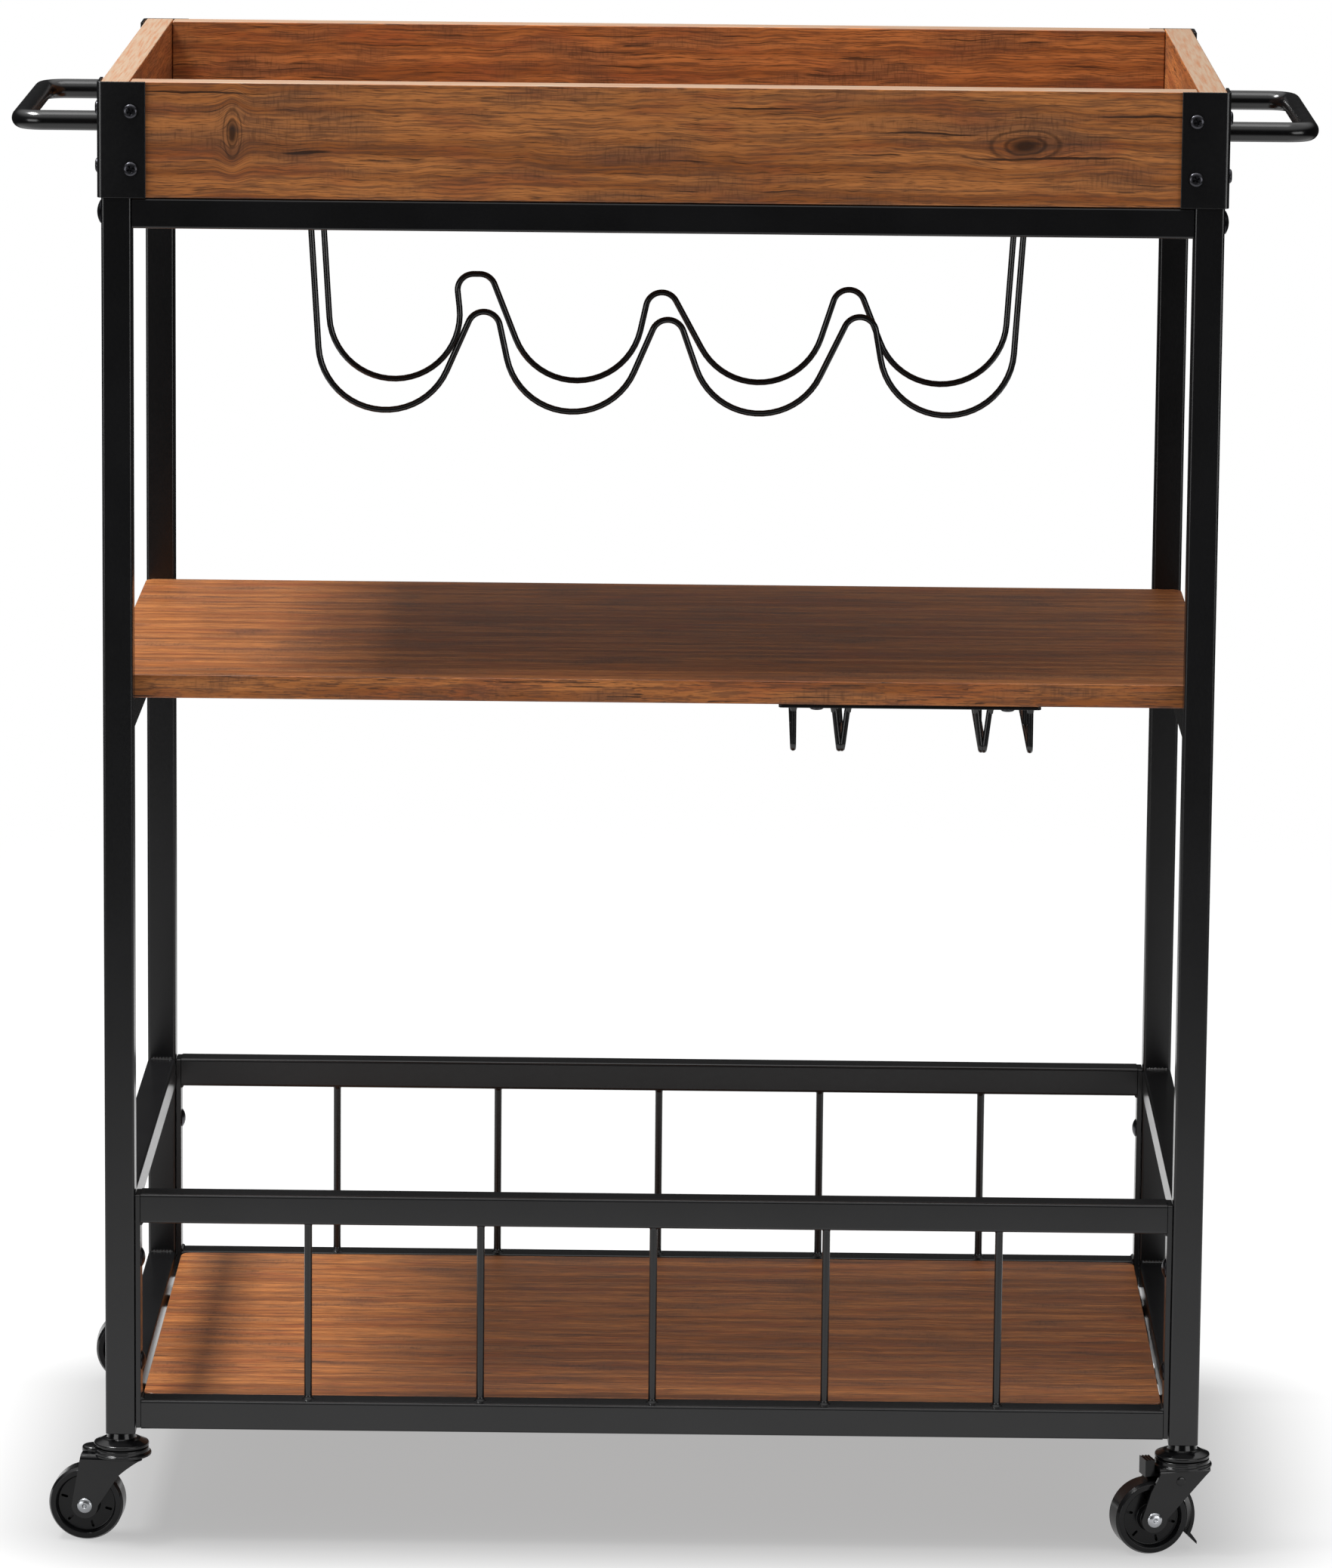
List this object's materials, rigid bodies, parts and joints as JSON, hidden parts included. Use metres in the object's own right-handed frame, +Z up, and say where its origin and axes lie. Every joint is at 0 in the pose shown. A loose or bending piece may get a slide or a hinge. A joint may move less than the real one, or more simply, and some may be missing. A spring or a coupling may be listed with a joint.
{
  "type": "bar cart",
  "caption": "Wheeled bar cart: black square-tube frame, boarded tray top, wood shelves, bottle rack, glass rack, railed basket, swivel casters.",
  "frame": {"origin": "on the floor under the middle of the cart", "axes": "+Z up, +X to the right seen from the front, -Y towards the front, handles at both X ends"},
  "size_m": [0.832, 0.4334, 0.9392],
  "materials": {
    "powder_coated_steel": "semi-gloss black powder coat",
    "black_wire": "black coated wire and strip",
    "black_oxide_bolt": "black dome-headed bolts",
    "walnut_laminate": "rustic walnut laminate on particle board, satin",
    "caster_steel": "glossy black caster stampings",
    "caster_wheel": "moulded black nylon",
    "zinc_axle": "bright zinc"
  },
  "bodies": {
    "frame": {"post_front_left": "powder_coated_steel", "post_front_right": "powder_coated_steel", "post_rear_left": "powder_coated_steel", "post_rear_right": "powder_coated_steel", "top_side_rail_left": "powder_coated_steel", "shelf_side_rail_left": "powder_coated_steel", "basket_side_rail_left": "powder_coated_steel", "bottom_side_rail_left": "powder_coated_steel", "top_side_rail_right": "powder_coated_steel", "shelf_side_rail_right": "powder_coated_steel", "basket_side_rail_right": "powder_coated_steel", "bottom_side_rail_right": "powder_coated_steel", "top_rail_front": "powder_coated_steel", "top_rail_rear": "powder_coated_steel", "rail_bolt_front_left": "black_oxide_bolt", "rail_bolt_front_right": "black_oxide_bolt", "rail_bolt_rear_left": "black_oxide_bolt", "rail_bolt_rear_right": "black_oxide_bolt", "basket_panel_front": "powder_coated_steel", "basket_panel_rear": "powder_coated_steel", "middle_shelf": "walnut_laminate", "lower_shelf": "walnut_laminate", "tray_board_left": "walnut_laminate", "tray_board_right": "walnut_laminate", "tray_board_front": "walnut_laminate", "tray_board_rear": "walnut_laminate", "tray_floor": "walnut_laminate", "corner_bracket_front_left": "powder_coated_steel", "corner_bracket_front_right": "powder_coated_steel", "corner_bracket_rear_left": "powder_coated_steel", "corner_bracket_rear_right": "powder_coated_steel", "handle_left": "powder_coated_steel", "handle_right": "powder_coated_steel", "bottle_rack_front": "black_wire", "bottle_rack_rear": "black_wire", "glass_rack_wire_left": "black_wire", "glass_rack_wire_middle": "black_wire", "glass_rack_wire_right": "black_wire", "glass_rack_strip_front": "black_wire", "glass_rack_strip_rear": "black_wire", "caster_stem_front_left": "caster_steel", "caster_stem_front_right": "caster_steel", "caster_stem_rear_left": "caster_steel", "caster_stem_rear_right": "caster_steel"},
    "fork_front_left": {"caster_fork_front_left": "caster_steel", "caster_axle_front_left": "zinc_axle"},
    "wheel_front_left": {"caster_wheel_front_left": "caster_wheel"},
    "fork_front_right": {"caster_fork_front_right": "caster_steel", "caster_axle_front_right": "zinc_axle", "brake_pin_front_right": "caster_steel"},
    "wheel_front_right": {"caster_wheel_front_right": "caster_wheel"},
    "brake_front_right": {"brake_rocker_front_right": "caster_wheel"},
    "fork_rear_left": {"caster_fork_rear_left": "caster_steel", "caster_axle_rear_left": "zinc_axle"},
    "wheel_rear_left": {"caster_wheel_rear_left": "caster_wheel"},
    "fork_rear_right": {"caster_fork_rear_right": "caster_steel", "caster_axle_rear_right": "zinc_axle", "brake_pin_rear_right": "caster_steel"},
    "wheel_rear_right": {"caster_wheel_rear_right": "caster_wheel"},
    "brake_rear_right": {"brake_rocker_rear_right": "caster_wheel"}
  },
  "joints": [
    {"name": "swivel_front_left", "type": "hinge", "parent": "frame", "child": "fork_front_left", "pos_m": [-0.3405, -0.1955, 0.058], "axis": [0, 0, 1], "continuous": true},
    {"name": "roll_front_left", "type": "hinge", "parent": "fork_front_left", "child": "wheel_front_left", "pos_m": [-0.36245, -0.19396, 0.024], "axis": [-0.0698, -0.9976, 0], "continuous": true},
    {"name": "swivel_front_right", "type": "hinge", "parent": "frame", "child": "fork_front_right", "pos_m": [0.3405, -0.1955, 0.058], "axis": [0, 0, 1], "continuous": true},
    {"name": "roll_front_right", "type": "hinge", "parent": "fork_front_right", "child": "wheel_front_right", "pos_m": [0.31925, -0.20119, 0.024], "axis": [0.2588, -0.9659, 0], "continuous": true},
    {"name": "brake_front_right", "type": "hinge", "parent": "fork_front_right", "child": "brake_front_right", "pos_m": [0.33587, -0.19674, 0.04858], "axis": [0.2588, -0.9659, 0], "range_deg": [0, 7]},
    {"name": "swivel_rear_left", "type": "hinge", "parent": "frame", "child": "fork_rear_left", "pos_m": [-0.3405, 0.1955, 0.058], "axis": [0, 0, 1], "continuous": true},
    {"name": "roll_rear_left", "type": "hinge", "parent": "fork_rear_left", "child": "wheel_rear_left", "pos_m": [-0.36245, 0.19396, 0.024], "axis": [0.0698, -0.9976, 0], "continuous": true},
    {"name": "swivel_rear_right", "type": "hinge", "parent": "frame", "child": "fork_rear_right", "pos_m": [0.3405, 0.1955, 0.058], "axis": [0, 0, 1], "continuous": true},
    {"name": "roll_rear_right", "type": "hinge", "parent": "fork_rear_right", "child": "wheel_rear_right", "pos_m": [0.31925, 0.20119, 0.024], "axis": [-0.2588, -0.9659, 0], "continuous": true},
    {"name": "brake_rear_right", "type": "hinge", "parent": "fork_rear_right", "child": "brake_rear_right", "pos_m": [0.33587, 0.19674, 0.04858], "axis": [-0.2588, -0.9659, 0], "range_deg": [0, 7]}
  ]
}
